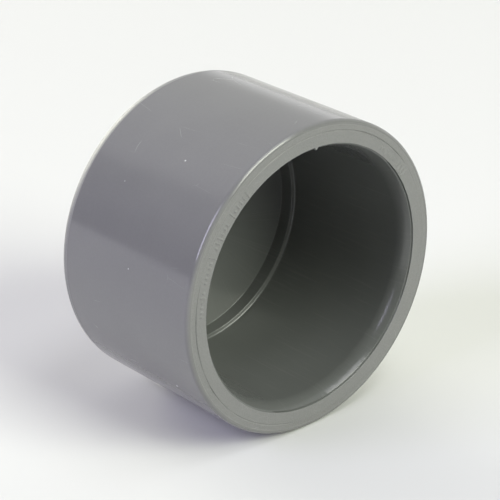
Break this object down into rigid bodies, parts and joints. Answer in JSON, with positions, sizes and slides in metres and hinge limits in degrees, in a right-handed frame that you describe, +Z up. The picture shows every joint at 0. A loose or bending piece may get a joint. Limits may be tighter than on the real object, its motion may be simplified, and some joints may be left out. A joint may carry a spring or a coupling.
{
  "type": "pipe cap",
  "caption": "Round socket cap, moulded in one piece of grey plastic, that is cemented over the end of a pressure pipe to close it.",
  "frame": {"origin": "centre of the closed end's flat outer face, on the cap's axis", "axes": "+Y along the cap's axis, out of the closed end, so that the open mouth faces -Y; +Z up, with the cap lying on its side"},
  "size_m": [0.062, 0.0378, 0.062],
  "materials": {
    "grey_pvc": "satin"
  },
  "bodies": {
    "root": {"cap_body": "grey_pvc"}
  },
  "joints": []
}
